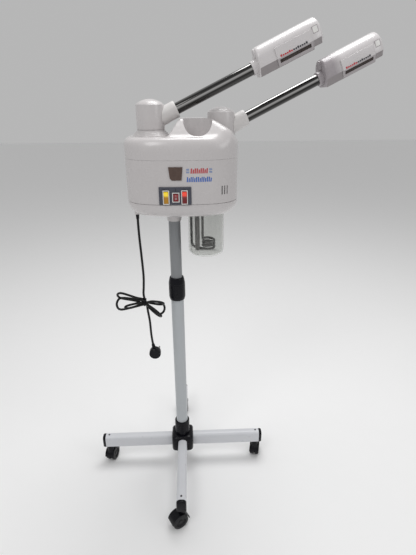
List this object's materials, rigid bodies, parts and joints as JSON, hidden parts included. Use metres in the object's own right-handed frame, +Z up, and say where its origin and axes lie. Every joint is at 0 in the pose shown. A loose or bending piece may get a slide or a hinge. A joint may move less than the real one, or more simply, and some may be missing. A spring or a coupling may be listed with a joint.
{
  "type": "facial steamer",
  "caption": "Two-arm facial steamer: white housing with glass water jar, rocker panel and bottle well on a telescopic post with a four-leg caster base.",
  "frame": {"origin": "middle of the bounding box of everything but the mains cord, on the floor", "axes": "+Z up; the control panel faces -Y; the two arms reach out along +X"},
  "size_m": [0.706, 0.4778, 1.1522],
  "materials": {
    "basin_plastic": "pale moulded",
    "black_plastic": "black moulded",
    "board_green": "green laminate",
    "brass": "plain",
    "chrome": "polished plated tube",
    "cord_black": "black sheath",
    "duct_silicone": "translucent buff silicone",
    "grey_plastic": "mid grey moulded",
    "housing_white": "smooth moulded, warm white",
    "jar_glass": "clear",
    "leg_white": "white powder coat",
    "panel_slate": "printed film, dark slate",
    "post_paint": "light grey powder coat",
    "rocker_amber": "translucent amber",
    "rocker_orange": "translucent red orange",
    "rocker_red": "translucent dark red",
    "smoked_window": "smoked, glossy",
    "steel": "plain stainless",
    "switch_white": "white moulded",
    "wheel_black": "black nylon"
  },
  "bodies": {
    "base": {"base_hub": "black_plastic", "lower_post": "post_paint", "collar_body": "black_plastic", "leg_front": "leg_white", "leg_left": "leg_white", "leg_rear": "leg_white", "leg_right": "leg_white", "leg_cap_front": "black_plastic", "leg_cap_left": "black_plastic", "leg_cap_rear": "black_plastic", "leg_cap_right": "black_plastic"},
    "caster_front": {"caster_hood_front": "black_plastic"},
    "wheels_front": {"caster_wheels_front": "wheel_black"},
    "caster_left": {"caster_hood_left": "black_plastic"},
    "wheels_left": {"caster_wheels_left": "wheel_black"},
    "caster_rear": {"caster_hood_rear": "black_plastic"},
    "wheels_rear": {"caster_wheels_rear": "wheel_black"},
    "caster_right": {"caster_hood_right": "black_plastic"},
    "wheels_right": {"caster_wheels_right": "wheel_black"},
    "collar_nut": {"collar_nut": "black_plastic"},
    "mast": {"upper_post": "post_paint"},
    "housing": {"top_cover": "housing_white", "middle_shell": "housing_white", "bottom_tray": "housing_white", "post_socket": "housing_white", "control_panel": "panel_slate", "sight_window": "smoked_window", "switch_case_mist": "switch_white", "switch_case_power": "switch_white", "switch_case_steam": "switch_white", "jar_ring": "black_plastic", "heater_plate": "steel", "heater_coil": "chrome", "level_tube": "grey_plastic", "water_basin": "basin_plastic", "transducer": "brass", "fan_frame": "black_plastic", "circuit_board": "board_green", "steam_duct": "duct_silicone", "cord_gland": "black_plastic", "cord_upper": "cord_black", "cord_bundle": "cord_black", "cord_lower": "cord_black", "cord_plug": "black_plastic"},
    "jar": {"jar": "jar_glass"},
    "fan_rotor": {"fan_rotor": "black_plastic"},
    "rocker_mist": {"rocker_mist": "rocker_amber"},
    "rocker_power": {"rocker_power": "rocker_red"},
    "rocker_steam": {"rocker_steam": "rocker_orange"},
    "turret_left": {"turret_left": "housing_white", "sleeve_left": "housing_white"},
    "arm_left": {"tube_left": "chrome", "head_left": "housing_white", "nozzle_left": "grey_plastic"},
    "turret_right": {"turret_right": "housing_white", "sleeve_right": "housing_white"},
    "arm_right": {"tube_right": "chrome", "head_right": "housing_white", "nozzle_right": "grey_plastic"}
  },
  "joints": [
    {"name": "caster_front_swivel", "type": "hinge", "parent": "base", "child": "caster_front", "pos_m": [-0.11917, -0.21062, 0.065], "axis": [0, 0, 1], "continuous": true},
    {"name": "caster_front_roll", "type": "hinge", "parent": "caster_front", "child": "wheels_front", "pos_m": [-0.12697, -0.21512, 0.02019], "axis": [-0.5, 0.866, 0], "continuous": true},
    {"name": "caster_left_swivel", "type": "hinge", "parent": "base", "child": "caster_left", "pos_m": [-0.33487, 0.00508, 0.065], "axis": [0, 0, 1], "continuous": true},
    {"name": "caster_left_roll", "type": "hinge", "parent": "caster_left", "child": "wheels_left", "pos_m": [-0.33254, 0.01377, 0.02019], "axis": [0.9659, -0.2588, 0], "continuous": true},
    {"name": "caster_rear_swivel", "type": "hinge", "parent": "base", "child": "caster_rear", "pos_m": [-0.11917, 0.22078, 0.065], "axis": [0, 0, 1], "continuous": true},
    {"name": "caster_rear_roll", "type": "hinge", "parent": "caster_rear", "child": "wheels_rear", "pos_m": [-0.11917, 0.21178, 0.02019], "axis": [-1, 0, 0], "continuous": true},
    {"name": "caster_right_swivel", "type": "hinge", "parent": "base", "child": "caster_right", "pos_m": [0.09653, 0.00508, 0.065], "axis": [0, 0, 1], "continuous": true},
    {"name": "caster_right_roll", "type": "hinge", "parent": "caster_right", "child": "wheels_right", "pos_m": [0.09886, 0.01377, 0.02019], "axis": [0.9659, -0.2588, 0], "continuous": true},
    {"name": "collar_nut_turn", "type": "hinge", "parent": "base", "child": "collar_nut", "pos_m": [-0.11917, 0.00508, 0.586], "axis": [0, 0, 1], "range_deg": [0, 120]},
    {"name": "post_height", "type": "slide", "parent": "base", "child": "mast", "axis": [0, 0, 1], "range_m": [-0.13, 0.25]},
    {"name": "housing_turn", "type": "hinge", "parent": "mast", "child": "housing", "pos_m": [-0.11917, 0.00508, 0.765], "axis": [0, 0, 1], "range_deg": [-170, 170]},
    {"name": "jar_drop", "type": "slide", "parent": "housing", "child": "jar", "axis": [0, 0, 1], "range_m": [-0.118, 0]},
    {"name": "fan_spin", "type": "hinge", "parent": "housing", "child": "fan_rotor", "pos_m": [-0.15917, 0.07508, 0.83469], "axis": [0, 1, 0], "continuous": true},
    {"name": "rocker_mist_press", "type": "hinge", "parent": "housing", "child": "rocker_mist", "pos_m": [-0.12967, -0.0943, 0.81269], "axis": [0.9983, -0.0581, 0], "range_deg": [-14, 0]},
    {"name": "rocker_power_press", "type": "hinge", "parent": "housing", "child": "rocker_power", "pos_m": [-0.10977, -0.09489, 0.81269], "axis": [1, -0.0087, 0], "range_deg": [-14, 0]},
    {"name": "rocker_steam_press", "type": "hinge", "parent": "housing", "child": "rocker_steam", "pos_m": [-0.09187, -0.09492, 0.81269], "axis": [1, 0.0015, 0], "range_deg": [-14, 0]},
    {"name": "turret_left_swing", "type": "hinge", "parent": "housing", "child": "turret_left", "pos_m": [-0.16217, 0.00508, 0.95], "axis": [0, 0, 1], "range_deg": [-45, 180]},
    {"name": "head_left_roll", "type": "hinge", "parent": "turret_left", "child": "arm_left", "pos_m": [-0.16217, 0.00508, 0.95449], "axis": [0.9029, 0.0584, 0.4258], "range_deg": [-60, 60]},
    {"name": "turret_right_swing", "type": "hinge", "parent": "housing", "child": "turret_right", "pos_m": [-0.00917, 0.02508, 0.95], "axis": [0, 0, 1], "range_deg": [-45, 35]},
    {"name": "head_right_roll", "type": "hinge", "parent": "turret_right", "child": "arm_right", "pos_m": [-0.00917, 0.02508, 0.93569], "axis": [0.8942, 0.1384, 0.4258], "range_deg": [-60, 60]}
  ]
}
